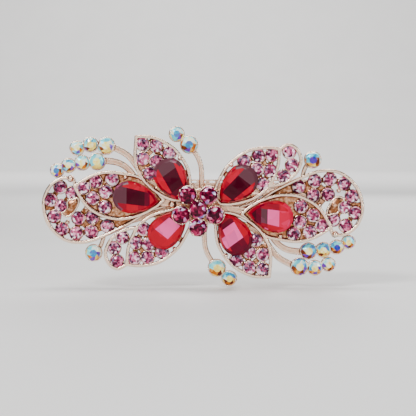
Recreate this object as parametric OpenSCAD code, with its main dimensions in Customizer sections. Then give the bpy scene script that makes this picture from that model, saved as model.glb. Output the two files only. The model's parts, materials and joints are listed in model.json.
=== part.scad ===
// Rhinestone hair clip: a two-winged openwork ornament on a barrette with a hinged clasp arm.
// +X right, +Z up, the ornament faces -Y. The origin is the middle of the hair gap.

/* [Ornament] */
// How far the ornament's centre sits below the plate's centre line
ornament_drop = 1.9; // [1.5:0.1:2.3]
// Thickness of the branches that lie on the plate
branch_t = 1.2; // [1:0.1:1.5]
// Height of the layer that holds the hub, the swirls and the sprays
low_h = 2; // [1.9:0.1:2.4]
// Height of a leaf's rim
rim_h = 1.6; // [1.6:0.1:1.8]
// Width of a rim
rim_w = 0.6; // [0.5:0.05:0.6]
// Thickness of the openwork floors
floor_t = 0.6; // [0.5:0.05:0.6]
// Width of the webs that join the cups
web_w = 1.2; // [0.8:0.1:1.4]
// Radius of the hub's disc
hub_r = 4.8; // [4.5:0.1:5]

/* [Stones] */
// Radius of the small pink stones
pave_r = 1.5; // [1.4:0.05:1.5]
// Height of a small stone's straight girdle
girdle_h = 0.4; // [0.3:0.05:0.4]
// Height of a small stone's sloping crown
crown_h = 0.6; // [0.4:0.05:0.6]
// Wall of the cups around the stones
cup_wall = 0.25; // [0.2:0.05:0.25]
// Length of a pear stone
pear_l = 12; // [11:0.1:12]
// Width of a pear stone
pear_w = 8.2; // [7.6:0.1:8.2]
// Height of a pear stone
pear_h = 2.2; // [1.8:0.1:2.4]
// Radius of the flower's stones
petal_r = 2.1; // [1.9:0.05:2.1]
// Radius of the ring of petal stones
petal_ring_r = 4.5; // [4.5:0.1:4.7]

/* [Barrette] */
// Length of the barrette plate
plate_l = 62; // [60:1:64]
// Width of the barrette plate
plate_w = 10; // [10:0.5:11]
// Thickness of the plate and of the clasp arm
plate_t = 0.8; // [0.6:0.1:0.8]
// Gap between the plate and the clasp arm, where the hair goes
hair_gap = 8; // [7.5:0.5:10]
// Width of the clasp arm
arm_w = 7; // [6.5:0.1:7]
// Radius of the hinge pin
pin_r = 0.6; // [0.5:0.05:0.6]
// Radial running clearance on the two pins
pin_clearance = 0.04; // [0.03:0.01:0.06]
// Thickness of the sprung bar that presses on the hair
spring_t = 0.4; // [0.3:0.05:0.4]

/* [Hidden] */
$fn = 48;
rose_gold = "#d8a27c";
steel = "#b9bcc2";
pink = "#d9799c";
deep_rose = "#a82c58";
red = "#c8102e";
aurora = "#dfeef5";
thin = 0.1;

// Depths in front of the plate
low_base = branch_t;
leaf_base = low_base + low_h;
pear_base = leaf_base + rim_h + thin;
flower_base = pear_base + pear_h + thin;
seat_scale = 0.66;

// Cups nearer than this are joined by a web
web_reach = 4.9;

// Sides of the ornament: the right wing is the left one turned half a turn
left = 1;
right = -1;

// A leaf's outline is a ring of edges; each edge is a curve through its points.
tall_leaf = outline([
    [[-17.4, 18.3], [-12.6, 18.1], [-7.4, 15.3], [-4, 10.7], [-3, 6], [-3.3, 1]],
    [[-3.3, 1], [-8.2, 1.6], [-12.6, 3.9], [-15.9, 7.2], [-17.7, 11.7], [-17.4, 18.3]]
]);
side_leaf = outline([
    [[-33.4, 5.4], [-29.4, 7.9], [-25.1, 9.2], [-20.4, 8.8], [-15.4, 7.4], [-9.6, 1.8]],
    [[-9.6, 1.8], [-12.1, -0.3], [-16, -2.3], [-21.2, -3.4], [-26.1, -2.5], [-30.4, 0.4], [-33.4, 5.4]]
]);
lobed_leaf = outline([
    [[-4.1, -0.4], [-8.2, -0.5], [-13.9, -2.3], [-17.6, -5.9], [-19.6, -10.7], [-19.8, -15.1]],
    [[-19.8, -15.1], [-16.5, -15.5], [-11.3, -14.6], [-6.6, -11.2], [-4, -7.2], [-2.7, -3.6], [-4.1, -0.4]]
]);
side_lobe = outline([
    [[-19.7, -15.2], [-22, -16.3], [-24.4, -15], [-25.5, -11.8], [-23.9, -8.2], [-20.6, -5.8], [-17, -5]],
    [[-17, -5], [-18, -9], [-18.8, -12], [-19.7, -15.2]]
]);
paisley = outline([
    [[-8.6, 0.2], [-14.4, -1.8], [-19.1, -4.7], [-25.4, -7.8], [-30.6, -9.5], [-35.8, -8.9], [-40.1, -5],
     [-41.6, 0.6], [-40, 5.2], [-36.6, 7.6], [-33.4, 7.4]],
    [[-33.4, 7.4], [-31.4, 3.4], [-27, -0.4], [-21, -1.6], [-14, -0.4], [-8.6, 0.2]]
]);
swirl_core = outline([
    [[-32.3, 2.4], [-32.1, 1.2], [-32.8, -0.4], [-33.9, -2], [-35.4, -2.7], [-37.2, -1.4]],
    [[-37.2, -1.4], [-35.8, 0.4], [-34.6, 1.8], [-32.3, 2.4]]
]);

// Stones are [x, y] or [x, y, radius].
tall_leaf_stones = [[-15.5, 16.1], [-12, 15.7], [-8.6, 13.8], [-12, 11.7], [-15.5, 12.4], [-13.6, 8.6]];
side_leaf_stones = [[-30.7, 4.9], [-27.6, 6.5], [-23.4, 7], [-25, 3.9], [-28.4, 2.2], [-25.3, -0.1]];
lobed_leaf_stones = [
    [-15.3, -5.8], [-17.3, -9.3], [-14, -9.7], [-17.7, -13.3], [-14.3, -13.1], [-10.6, -11.7]
];
side_lobe_stones = [[-20.8, -7.9], [-22.9, -10.7], [-22.2, -14.1]];
paisley_stones = [
    [-33.9, 3.5], [-37, 5], [-39.5, 1.7], [-36.7, 0.1], [-38.6, -2.6], [-36.6, -5.9], [-32.9, -7],
    [-32.4, -3.1], [-29, -6.6], [-28.7, -2.9], [-24.8, -5.1]
];
short_spray_stones = [[-32.6, 15.1, 1.6], [-29.1, 16, 1.7], [-25.1, 15.7, 2]];
long_spray_stones = [[-37.8, 9.3, 1.5], [-34.8, 10.6, 1.6], [-31.3, 11.3, 1.7], [-27.4, 11.6, 1.9]];
antenna_stones = [[-6.8, 18.7, 1.7], [-3.6, 16, 2]];
accent_stones = [[-28.4, -12.1, 1.9]];
flower_centre = [-1.2, -0.5];
flower_post_r = 2.6;
petal_arm_w = 2;
centre_lift = 0.8;
bead = [-7.9, 0.55];
bead_r = 0.75;
bead_h = 1.2;
petal_stones = [for (i = [0:4]) flower_centre + petal_ring_r * [cos(54 + 72 * i), sin(54 + 72 * i)]];

// A pear is [centre x, centre y, direction of its point in degrees].
tall_leaf_pear = [-7.8, 6.8, -61];
side_leaf_pear = [-17.3, 2.3, -8];
lobed_leaf_pear = [-8.8, -5.5, 45];

// A stem is [points, first width, last width], from the last stone of a spray to the hub.
short_spray_stem = [
    [[-25.1, 15.7], [-22.8, 15.1], [-19.6, 13.3], [-17.5, 10.8], [-15.5, 7.8], [-11.6, 5.2], [-7.4, 3.4]],
    1.5, 1.1
];
long_spray_stem = [
    [[-27.4, 11.6], [-25, 11.8], [-21.7, 11.2], [-19.1, 9.4], [-16, 5.6], [-11, 2.6], [-8, 1.6]],
    1.6, 1.1
];
antenna_stem = [[[-3.6, 16], [-2, 13.8], [-0.9, 11.7], [-0.4, 9.1], [-0.3, 3]], 1, 1.1];
accent_stem = [[[-28.4, -12.1], [-26.6, -10.2], [-25.6, -7]], 1, 0.8];

// A branch's arm narrows from the hub outwards; its straight bar lies along the plate
branch_line = [[0, 0.6], [-8, 0.2], [-16, -2.4], [-24, -4.6], [-33, -4.2]];
branch_root_w = 3.6;
branch_tip_w = 1.4;
branch_bar_l = plate_l / 2 - 4;
branch_bar_w = 3;
hub_arm_w = 2.4;
swirl_core_h = low_h - floor_t - 0.4;

// Barrette sizes
plate_back = -hair_gap / 2;
plate_front = plate_back - plate_t;
arm_front = hair_gap / 2;
arm_back = arm_front + plate_t;
barrel_r = pin_r + 0.7;
hinge = [plate_l / 2 - 1.6, arm_back - barrel_r];
ear_t = 0.8;
ear_r = 1.2;
ear_edge = 1.5;
ear_gap = arm_w + 0.8;
small_pin_r = 0.45;
eye_r = small_pin_r + 0.5;
bar_pin = [plate_l / 2 - 3.6, plate_back + 1.4];
bar_w = 5;
bar_crest = 2.7;
catch_x = -plate_l / 2 + 3.5;
paddle_l = 8.4;
paddle_w = 9;
paddle_drop = 1.8;
window = [5.4, 6.3];
prong = [3.4, 0.45];
prong_z = 2.45;
barb = 0.35;
bracket_t = 0.5;
bracket_l = 5;
prong_gap = 0.3;
rivet_x = 15;
rivet_r = 0.9;
catch_rivet_r = 0.8;
slot = [1.4, 0.5];
slot_pitch = 2.4;
slot_count = 19;

ornament_wing_parts = [
    "paisley_frame", "paisley_stones", "tall_leaf_frame", "tall_leaf_stones", "tall_leaf_pear",
    "side_leaf_frame", "side_leaf_stones", "side_leaf_pear", "lobed_leaf_frame", "lobed_leaf_stones",
    "lobed_leaf_pear", "long_spray_frame", "long_spray_stones", "short_spray_frame",
    "short_spray_stones", "antenna_frame", "antenna_stones", "accent_frame", "accent_stone"
];

// ---- curves ----

function spline(a, b, c, d, t) =
    0.5 * (2 * b + (c - a) * t + (2 * a - 5 * b + 4 * c - d) * t * t + (3 * b - a - 3 * c + d) * t * t * t);

// Points along an open curve, five to each stretch
function curve(p) =
    let (last = len(p) - 1)
    concat(
        [for (i = [0 : last - 1], k = [0 : 4])
            spline(p[max(i - 1, 0)], p[i], p[i + 1], p[min(i + 2, last)], k / 5)],
        [p[last]]
    );

// A closed ring of curves: each edge ends where the next one starts
function outline(edges) = [for (e = edges) let (c = curve(e)) for (i = [0 : len(c) - 2]) c[i]];

function side_step(c, i) =
    let (d = c[min(i + 1, len(c) - 1)] - c[max(i - 1, 0)])
    [-d[1], d[0]] / norm(d);

// A strip along a curve whose width goes evenly from one value to another
function strip(p, from_w, to_w) =
    let (
        c = curve(p),
        last = len(c) - 1,
        half = [for (i = [0 : last]) (from_w + (to_w - from_w) * i / last) / 2]
    )
    concat(
        [for (i = [0 : last]) c[i] + half[i] * side_step(c, i)],
        [for (i = [last : -1 : 0]) c[i] - half[i] * side_step(c, i)]
    );

// A pear outline about its middle, its point towards +X: a round end and two arcs tangent to it
function pear_outline(l, w) =
    let (
        cx = (w - l) / 2,
        d = l / 2 - cx,
        r = (d * d + w * w / 4) / w,
        sweep = asin(d / r)
    )
    concat(
        [for (i = [0 : 14]) [cx, 0] + w / 2 * [cos(90 + 12 * i), sin(90 + 12 * i)]],
        [for (i = [1 : 7]) [cx, r - w / 2] + r * [sin(sweep * i / 7), -cos(sweep * i / 7)]],
        [for (i = [6 : -1 : 1]) [cx, w / 2 - r] + r * [sin(sweep * i / 7), cos(sweep * i / 7)]]
    );

function stone_r(s) = len(s) > 2 ? s[2] : pave_r;
function place(s) = [s[0], s[1]];

function nearest(p, ring) =
    let (d = [for (q = ring) norm(q - p)])
    ring[search(min(d), d)[0]];

// ---- flat shapes ----

module bar(p, q, w) {
    d = q - p;
    translate(p) rotate(atan2(d[1], d[0])) translate([0, -w / 2]) square([norm(d), w]);
}

module discs(stones, extra) {
    for (s = stones) translate(place(s)) circle(stone_r(s) + extra);
}

module rim(ring) {
    difference() {
        polygon(ring);
        offset(delta = -rim_w) polygon(ring);
    }
}

// Turns overlapping flat shapes into one clean polygon, so that a level of metal is one solid
module merged() {
    offset(delta = 0) children();
}

// Cups and webs inside a ring: every cup is joined to its neighbours and to the rim
module openwork(ring, stones) {
    intersection() {
        polygon(ring);
        union() {
            discs(stones, cup_wall);
            for (s = stones) bar(place(s), nearest(place(s), ring), web_w);
            for (a = stones, b = stones)
                if (a[0] < b[0] && norm(place(b) - place(a)) < web_reach) bar(place(a), place(b), web_w);
        }
    }
    rim(ring);
}

module cup_rings(ring, stones) {
    difference() {
        intersection() {
            polygon(ring);
            discs(stones, cup_wall);
        }
        discs(stones, 0);
    }
}

module rounded_plate(l, w, r) {
    square([l - 2 * r, w], center = true);
    square([l, w - 2 * r], center = true);
    for (x = [-1, 1], y = [-1, 1]) translate([x * (l / 2 - r), y * (w / 2 - r)]) circle(r);
}

// One merged polygon, because the pieces around the hub are cut to meet it
module hub_shape() {
    merged() {
        circle(hub_r);
        for (turn = [0, 180]) rotate(turn) {
            for (pear = [tall_leaf_pear, side_leaf_pear, lobed_leaf_pear]) {
                bar([0, 0], place(pear), hub_arm_w);
                translate(place(pear)) circle(hub_arm_w / 2);
            }
        }
    }
}

// ---- places ----

// Draws in the ornament's own plane: x and y across it, z towards the front
module wing(side) {
    translate([0, plate_front, -ornament_drop])
        rotate([90, 0, 0])
            rotate(side == left ? 0 : 180) children();
}

module at(depth) {
    translate([0, 0, depth]) children();
}

module slab(depth, h) {
    at(depth) linear_extrude(h) children();
}

module along_z(l) {
    linear_extrude(l, center = true) children();
}

// ---- stones ----

module stone(r, girdle, crown) {
    cylinder(h = girdle, r = r);
    translate([0, 0, girdle]) cylinder(h = crown, r1 = r, r2 = 0.55 * r);
}

module stones(list, depth, girdle = girdle_h, crown = crown_h) {
    for (s = list) translate([s[0], s[1], depth]) stone(stone_r(s), girdle, crown);
}

module at_pear(pear) {
    translate(place(pear)) rotate(pear[2]) children();
}

module pear_stone(pear) {
    color(red) at(pear_base) at_pear(pear) {
        linear_extrude(pear_h / 2) polygon(pear_outline(pear_l, pear_w));
        translate([0, 0, pear_h / 2])
            linear_extrude(pear_h / 2, scale = 0.62) polygon(pear_outline(pear_l, pear_w));
    }
}

// ---- leaves ----

// The closed floor under a pear, with two webs that reach the rim
module pear_floor(ring, pear) {
    intersection() {
        polygon(ring);
        at_pear(pear) {
            polygon(pear_outline(pear_l, pear_w));
            bar([-pear_l, 0], [pear_l, 0], web_w);
            bar([0, -pear_w], [0, pear_w], web_w);
        }
    }
}

module pear_seat(pear) {
    slab(leaf_base + floor_t, rim_h - floor_t + thin)
        at_pear(pear) polygon(pear_outline(seat_scale * pear_l, seat_scale * pear_w));
}

// Every level is merged flat before it is given its height; a closed leaf has no gaps in its floor
module leaf_frame(ring, stones, pear, closed) {
    color(rose_gold) {
        slab(leaf_base, floor_t) merged() {
            if (closed) polygon(ring);
            else {
                openwork(ring, stones);
                pear_floor(ring, pear);
            }
        }
        slab(leaf_base + floor_t, rim_h - floor_t) merged() difference() {
            rim(ring);
            discs(stones, 0);
        }
        slab(leaf_base + floor_t, girdle_h) merged() cup_rings(ring, stones);
        pear_seat(pear);
    }
}

module tall_leaf_frame() {
    leaf_frame(tall_leaf, tall_leaf_stones, tall_leaf_pear, false);
}

module leaf_stones(list) {
    color(pink) stones(list, leaf_base + floor_t);
}

module lobed_leaf_stone_set() {
    leaf_stones(concat(lobed_leaf_stones, side_lobe_stones));
}

module side_leaf_frame() {
    color(rose_gold) difference() {
        leaf_frame(side_leaf, side_leaf_stones, side_leaf_pear, true);
        slab(leaf_base - 1, rim_h + 2) polygon(tall_leaf);
    }
}

// The leaf and its side lobe are merged flat, level by level, and share the leaf's rim
module lobed_leaf_frame() {
    color(rose_gold) {
        slab(leaf_base, floor_t) merged() {
            openwork(lobed_leaf, lobed_leaf_stones);
            pear_floor(lobed_leaf, lobed_leaf_pear);
            beside_lobed_leaf() openwork(side_lobe, side_lobe_stones);
        }
        slab(leaf_base + floor_t, rim_h - floor_t) merged() difference() {
            union() {
                rim(lobed_leaf);
                beside_lobed_leaf() rim(side_lobe);
            }
            discs(concat(lobed_leaf_stones, side_lobe_stones), 0);
        }
        slab(leaf_base + floor_t, girdle_h) merged() {
            cup_rings(lobed_leaf, lobed_leaf_stones);
            beside_lobed_leaf() cup_rings(side_lobe, side_lobe_stones);
        }
        pear_seat(lobed_leaf_pear);
    }
}

module beside_lobed_leaf() {
    difference() {
        children();
        offset(delta = -rim_w / 2) polygon(lobed_leaf);
    }
}

// ---- swirls, sprays and antennas ----

module paisley_frame() {
    color(rose_gold) difference() {
        union() {
            slab(low_base, floor_t) merged() {
                openwork(paisley, paisley_stones);
                polygon(swirl_core);
                intersection() {
                    polygon(paisley);
                    polygon(strip(branch_line, branch_root_w, branch_tip_w));
                }
            }
            slab(low_base + floor_t, low_h - floor_t) merged() difference() {
                rim(paisley);
                discs(paisley_stones, 0);
            }
            slab(low_base + floor_t, girdle_h) merged() cup_rings(paisley, paisley_stones);
            slab(low_base + floor_t, swirl_core_h) merged() difference() {
                polygon(swirl_core);
                discs(paisley_stones, cup_wall);
                rim(paisley);
            }
        }
        slab(low_base - 1, low_h + 2) hub_shape();
    }
}

module paisley_stone_set() {
    color(pink) stones(paisley_stones, low_base + floor_t);
}

// Cups on a stem; the stem lies on the lower half of the cups and is [points, first width, last width]
module spray(stones, stem) {
    slab(low_base, floor_t) merged() {
        discs(stones, cup_wall);
        polygon(strip(stem[0], stem[1], stem[2]));
        for (i = [0 : 1 : len(stones) - 2]) bar(place(stones[i]), place(stones[i + 1]), web_w);
    }
    slab(low_base + floor_t, girdle_h) merged() difference() {
        discs(stones, cup_wall);
        discs(stones, 0);
    }
}

module short_spray_frame() {
    color(rose_gold) difference() {
        spray(short_spray_stones, short_spray_stem);
        slab(low_base - 1, low_h + 2) hub_shape();
    }
}

module long_spray_frame() {
    color(rose_gold) difference() {
        spray(long_spray_stones, long_spray_stem);
        slab(low_base - 1, low_h + 2) {
            hub_shape();
            polygon(strip(short_spray_stem[0], short_spray_stem[1], short_spray_stem[2]));
            discs(short_spray_stones, cup_wall);
        }
    }
}

module antenna_frame() {
    color(rose_gold) difference() {
        spray(antenna_stones, antenna_stem);
        slab(low_base - 1, low_h + 2) hub_shape();
    }
}

module accent_frame() {
    color(rose_gold) difference() {
        spray(accent_stones, accent_stem);
        slab(low_base - 1, low_h + 2) polygon(paisley);
    }
}

module spray_stones(list) {
    color(aurora) stones(list, low_base + floor_t, girdle_h, 2 * crown_h);
}

// ---- middle ----

// A branch: the bar that is riveted to the plate, and the arm that carries the swirl
module branch(side) {
    color(rose_gold) difference() {
        union() {
            slab(0, branch_t) polygon(strip(branch_line, branch_root_w, branch_tip_w));
            slab(0, branch_t) translate([-branch_bar_l, side * ornament_drop - branch_bar_w / 2])
                square([branch_bar_l, branch_bar_w]);
        }
        slab(-thin, branch_t + 2 * thin) {
            translate([0, -hub_r]) square(2 * hub_r);
            translate([-rivet_x, side * ornament_drop]) circle(rivet_r);
        }
    }
}

// The spider under the leaves, with a round bead that shows between the leaf roots
module hub() {
    wing(left) color(rose_gold) {
        slab(low_base, low_h) hub_shape();
        translate([bead[0], bead[1], leaf_base - thin]) {
            cylinder(h = bead_h, r = bead_r);
            translate([0, 0, bead_h]) cylinder(h = 0.4 * bead_r, r1 = bead_r, r2 = 0.6 * bead_r);
        }
    }
}

module flower_setting() {
    wing(left) color(rose_gold) {
        at(leaf_base) cylinder(h = flower_base - leaf_base, r = flower_post_r);
        slab(flower_base, floor_t) {
            for (p = petal_stones) {
                translate(p) circle(petal_r + cup_wall);
                bar(flower_centre, p, petal_arm_w);
            }
            translate(flower_centre) circle(petal_r + cup_wall);
        }
        slab(flower_base + floor_t, girdle_h) for (p = petal_stones) translate(p) difference() {
            circle(petal_r + cup_wall);
            circle(petal_r);
        }
        slab(flower_base + floor_t, centre_lift) translate(flower_centre) circle(petal_r + cup_wall - thin);
        slab(flower_base + floor_t + centre_lift, girdle_h) translate(flower_centre) difference() {
            circle(petal_r + cup_wall - thin);
            circle(petal_r);
        }
    }
}

module flower_petal_stones() {
    wing(left) color(deep_rose) for (p = petal_stones)
        translate([p[0], p[1], flower_base + floor_t]) stone(petal_r, girdle_h, 2 * crown_h);
}

module flower_centre_stone() {
    wing(left) color(deep_rose)
        translate([flower_centre[0], flower_centre[1], flower_base + floor_t + centre_lift])
            stone(petal_r, girdle_h, 2 * crown_h);
}

// ---- barrette ----

module base_plate() {
    color(rose_gold) {
        translate([0, plate_back, 0]) rotate([90, 0, 0]) linear_extrude(plate_t) difference() {
            rounded_plate(plate_l, plate_w, 2);
            for (i = [0 : slot_count - 1], side = [-1, 1])
                translate([(i - (slot_count - 1) / 2) * slot_pitch, side * (plate_w / 2 - 0.6)])
                    square(slot, center = true);
            for (x = [-rivet_x, rivet_x]) translate([x, 0]) circle(rivet_r);
            translate([catch_x, 0]) circle(catch_rivet_r);
        }
        for (side = [-1, 1]) translate([0, 0, side * (ear_gap + ear_t) / 2]) along_z(ear_t) ear_shape();
    }
}

module ear_shape() {
    difference() {
        union() {
            polygon([
                [bar_pin[0] - ear_edge, plate_back - thin], [hinge[0] + ear_edge, plate_back - thin],
                [hinge[0] + ear_r, hinge[1]], [hinge[0] - ear_r, hinge[1]],
                [bar_pin[0] - ear_edge, bar_pin[1] + small_pin_r + thin]
            ]);
            translate(hinge) circle(ear_r);
        }
        translate(hinge) circle(pin_r);
        translate(bar_pin) circle(small_pin_r);
    }
}

module hinge_pin() {
    color(steel) translate(hinge) cylinder(h = ear_gap + 2 * ear_t, r = pin_r, center = true);
}

module tension_pin() {
    color(steel) translate(bar_pin) cylinder(h = ear_gap + 2 * ear_t, r = small_pin_r, center = true);
}

module clasp_arm() {
    color(steel) difference() {
        union() {
            translate(hinge) cylinder(h = arm_w, r = barrel_r, center = true);
            along_z(arm_w) polygon([
                [hinge[0], arm_back], [catch_x + 6.2, arm_back],
                [catch_x + 4.2, arm_back - paddle_drop], [catch_x - paddle_l / 2, arm_back - paddle_drop],
                [catch_x - paddle_l / 2, arm_front - paddle_drop], [catch_x + 3.8, arm_front - paddle_drop],
                [catch_x + 5.8, arm_front], [hinge[0], arm_front]
            ]);
            translate([catch_x, arm_front - paddle_drop + plate_t / 2, 0])
                cube([paddle_l, plate_t, paddle_w], center = true);
        }
        translate(hinge) cylinder(h = arm_w + 2, r = pin_r + pin_clearance, center = true);
        translate([catch_x, arm_front - paddle_drop, 0])
            cube([window[0], 4 * plate_t, window[1]], center = true);
    }
}

module tension_bar() {
    crest = plate_back + bar_crest;
    color(steel) difference() {
        union() {
            translate(bar_pin) cylinder(h = bar_w, r = eye_r, center = true);
            along_z(bar_w) polygon(strip([
                [bar_pin[0], bar_pin[1] + eye_r - spring_t / 2], [bar_pin[0] / 2, crest - 0.2],
                [0, crest], [catch_x / 3, crest - 0.5], [catch_x + 6.5, plate_back + 0.6]
            ], spring_t, spring_t));
        }
        translate(bar_pin) cylinder(h = bar_w + 2, r = small_pin_r + pin_clearance, center = true);
    }
}

module catch_bracket() {
    color(steel) translate([catch_x, plate_back + bracket_t, 0]) rotate([90, 0, 0])
        linear_extrude(bracket_t) difference() {
            square([bracket_l, 2 * prong_z + 0.7], center = true);
            circle(catch_rivet_r);
        }
}

// A prong points at the arm, with its barb turned outwards, above the paddle.
// It is pinched about its round root.
module catch_prong(side) {
    root = plate_back + bracket_t + prong_gap;
    top = arm_back - thin;
    shelf = arm_back - paddle_drop + 0.3;
    out = prong[1] / 2;
    color(steel) translate([catch_x, 0, side * prong_z]) rotate([0, side * -90, 0])
        linear_extrude(prong[0], center = true) {
            translate([0, root]) circle(out);
            polygon([[-out, root], [out, root], [out, shelf], [out + barb, shelf], [out, top], [-out, top]]);
        }
}

module catch_prong_upper() {
    catch_prong(1);
}

module catch_prong_lower() {
    catch_prong(-1);
}

module rivet(x, r, head_r, head_h, from_y, to_y) {
    translate([x, to_y, 0]) rotate([90, 0, 0]) cylinder(h = to_y - from_y, r = r);
    translate([x, to_y + head_h, 0]) rotate([90, 0, 0]) cylinder(h = head_h, r = head_r);
}

module catch_rivet() {
    color(steel) rivet(catch_x, catch_rivet_r, 1.4, 0.5, plate_front, plate_back + bracket_t);
}

module ornament_rivets() {
    color(steel) for (x = [-rivet_x, rivet_x])
        rivet(x, rivet_r, 1.5, 0.4, plate_front - branch_t, plate_back);
}

base_plate();
hinge_pin();
clasp_arm();
tension_pin();
tension_bar();
catch_bracket();
catch_prong_upper();
catch_prong_lower();
catch_rivet();
ornament_rivets();
wing(left) branch(left);  // branch_left
wing(right) branch(right);  // branch_right
hub();
flower_setting();
flower_petal_stones();
flower_centre_stone();
wing(left) paisley_frame();  // left_paisley_frame
wing(left) paisley_stone_set();  // left_paisley_stones
wing(left) tall_leaf_frame();  // left_tall_leaf_frame
wing(left) leaf_stones(tall_leaf_stones);  // left_tall_leaf_stones
wing(left) pear_stone(tall_leaf_pear);  // left_tall_leaf_pear
wing(left) side_leaf_frame();  // left_side_leaf_frame
wing(left) leaf_stones(side_leaf_stones);  // left_side_leaf_stones
wing(left) pear_stone(side_leaf_pear);  // left_side_leaf_pear
wing(left) lobed_leaf_frame();  // left_lobed_leaf_frame
wing(left) lobed_leaf_stone_set();  // left_lobed_leaf_stones
wing(left) pear_stone(lobed_leaf_pear);  // left_lobed_leaf_pear
wing(left) long_spray_frame();  // left_long_spray_frame
wing(left) spray_stones(long_spray_stones);  // left_long_spray_stones
wing(left) short_spray_frame();  // left_short_spray_frame
wing(left) spray_stones(short_spray_stones);  // left_short_spray_stones
wing(left) antenna_frame();  // left_antenna_frame
wing(left) spray_stones(antenna_stones);  // left_antenna_stones
wing(left) accent_frame();  // left_accent_frame
wing(left) spray_stones(accent_stones);  // left_accent_stone
wing(right) paisley_frame();  // right_paisley_frame
wing(right) paisley_stone_set();  // right_paisley_stones
wing(right) tall_leaf_frame();  // right_tall_leaf_frame
wing(right) leaf_stones(tall_leaf_stones);  // right_tall_leaf_stones
wing(right) pear_stone(tall_leaf_pear);  // right_tall_leaf_pear
wing(right) side_leaf_frame();  // right_side_leaf_frame
wing(right) leaf_stones(side_leaf_stones);  // right_side_leaf_stones
wing(right) pear_stone(side_leaf_pear);  // right_side_leaf_pear
wing(right) lobed_leaf_frame();  // right_lobed_leaf_frame
wing(right) lobed_leaf_stone_set();  // right_lobed_leaf_stones
wing(right) pear_stone(lobed_leaf_pear);  // right_lobed_leaf_pear
wing(right) long_spray_frame();  // right_long_spray_frame
wing(right) spray_stones(long_spray_stones);  // right_long_spray_stones
wing(right) short_spray_frame();  // right_short_spray_frame
wing(right) spray_stones(short_spray_stones);  // right_short_spray_stones
wing(right) antenna_frame();  // right_antenna_frame
wing(right) spray_stones(antenna_stones);  // right_antenna_stones
wing(right) accent_frame();  // right_accent_frame
wing(right) spray_stones(accent_stones);  // right_accent_stone
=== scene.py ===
# %% [markdown]
# # A rhinestone hair clip
# The clip is a rose-gold ornament with two wings, set with faceted stones, on a steel barrette.
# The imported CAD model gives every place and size. This lesson gives each part the shape and the
# finish that a maker would: cast metal with rounded rims, cut stones, claws and plated steel.

# %% Load the frame
import json
import math
import random

import bmesh
import bpy
from mathutils import Matrix, Vector


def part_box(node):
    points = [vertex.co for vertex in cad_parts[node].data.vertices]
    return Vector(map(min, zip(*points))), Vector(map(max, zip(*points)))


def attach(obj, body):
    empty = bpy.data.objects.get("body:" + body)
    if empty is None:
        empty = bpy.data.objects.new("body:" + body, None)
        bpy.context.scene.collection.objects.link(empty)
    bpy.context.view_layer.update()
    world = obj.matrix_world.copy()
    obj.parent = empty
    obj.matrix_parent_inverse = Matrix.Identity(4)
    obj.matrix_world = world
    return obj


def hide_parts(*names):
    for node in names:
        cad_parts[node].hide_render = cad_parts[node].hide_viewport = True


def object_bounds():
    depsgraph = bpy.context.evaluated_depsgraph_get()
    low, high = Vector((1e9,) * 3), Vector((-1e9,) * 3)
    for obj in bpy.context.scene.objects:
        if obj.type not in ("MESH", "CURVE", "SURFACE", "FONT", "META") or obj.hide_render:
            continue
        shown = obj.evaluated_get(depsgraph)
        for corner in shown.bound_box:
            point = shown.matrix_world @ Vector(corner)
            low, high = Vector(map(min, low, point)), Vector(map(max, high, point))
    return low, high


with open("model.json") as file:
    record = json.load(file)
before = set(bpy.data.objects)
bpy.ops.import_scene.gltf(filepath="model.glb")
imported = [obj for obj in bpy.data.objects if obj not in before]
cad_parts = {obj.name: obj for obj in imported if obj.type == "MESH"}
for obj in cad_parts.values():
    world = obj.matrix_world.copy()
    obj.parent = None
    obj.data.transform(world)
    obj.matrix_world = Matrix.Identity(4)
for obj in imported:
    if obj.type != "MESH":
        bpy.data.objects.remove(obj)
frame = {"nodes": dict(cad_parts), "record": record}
cad_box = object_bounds()
MM = 0.001
ORNAMENT = "ornament_and_plate"
# Corners closer than SAME are one corner, and faces closer than LEVEL are on one level.
SAME = 0.001 * MM
LEVEL = 0.01 * MM
print("CAD box in mm:", [[round(v / MM, 1) for v in corner] for corner in cad_box])

# %% [markdown]
# ## Working by hand, in code
# An operator acts on whatever is selected, and the loaded nodes are selected, so each step starts
# from nothing selected. Faces are then picked by their place or their normal, as a person would.


# %% Selecting and shaping
def only(obj):
    """Selects one object and makes it the active one."""
    bpy.ops.object.select_all(action="DESELECT")
    obj.select_set(True)
    bpy.context.view_layer.objects.active = obj
    return obj


def edit(obj):
    """Enters edit mode on one object, with no face selected."""
    only(obj)
    bpy.ops.object.mode_set(mode="EDIT")
    bpy.ops.mesh.select_mode(type="FACE")
    bpy.ops.mesh.select_all(action="DESELECT")


def done():
    """Leaves edit mode."""
    bpy.ops.object.mode_set(mode="OBJECT")


def pick(obj, test):
    """Selects the faces that pass a test, in edit mode."""
    mesh = bmesh.from_edit_mesh(obj.data)
    for face in mesh.faces:
        face.select_set(test(face))
    bmesh.update_edit_mesh(obj.data)


def shape(obj, name, kind, **settings):
    """Adds a modifier and applies it."""
    only(obj)
    modifier = obj.modifiers.new(name, kind)
    for key, value in settings.items():
        setattr(modifier, key, value)
    bpy.ops.object.modifier_apply(modifier=modifier.name)
    return obj


def copy_of(obj, name):
    """A copy with a mesh of its own, free of the frame."""
    twin = bpy.data.objects.new(name, obj.data.copy())
    bpy.context.scene.collection.objects.link(twin)
    return twin


def joined(pieces, name):
    """Joins the pieces into the first one and names it."""
    bpy.ops.object.select_all(action="DESELECT")
    for piece in pieces:
        piece.select_set(True)
    bpy.context.view_layer.objects.active = pieces[0]
    if len(pieces) > 1:
        bpy.ops.object.join()
    pieces[0].name = name
    return pieces[0]


def merge_corners(obj):
    """Enters edit mode and merges corners that lie on each other, as CAD faces don't share them."""
    edit(obj)
    bpy.ops.mesh.select_all(action="SELECT")
    bpy.ops.mesh.remove_doubles(threshold=SAME)


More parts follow.
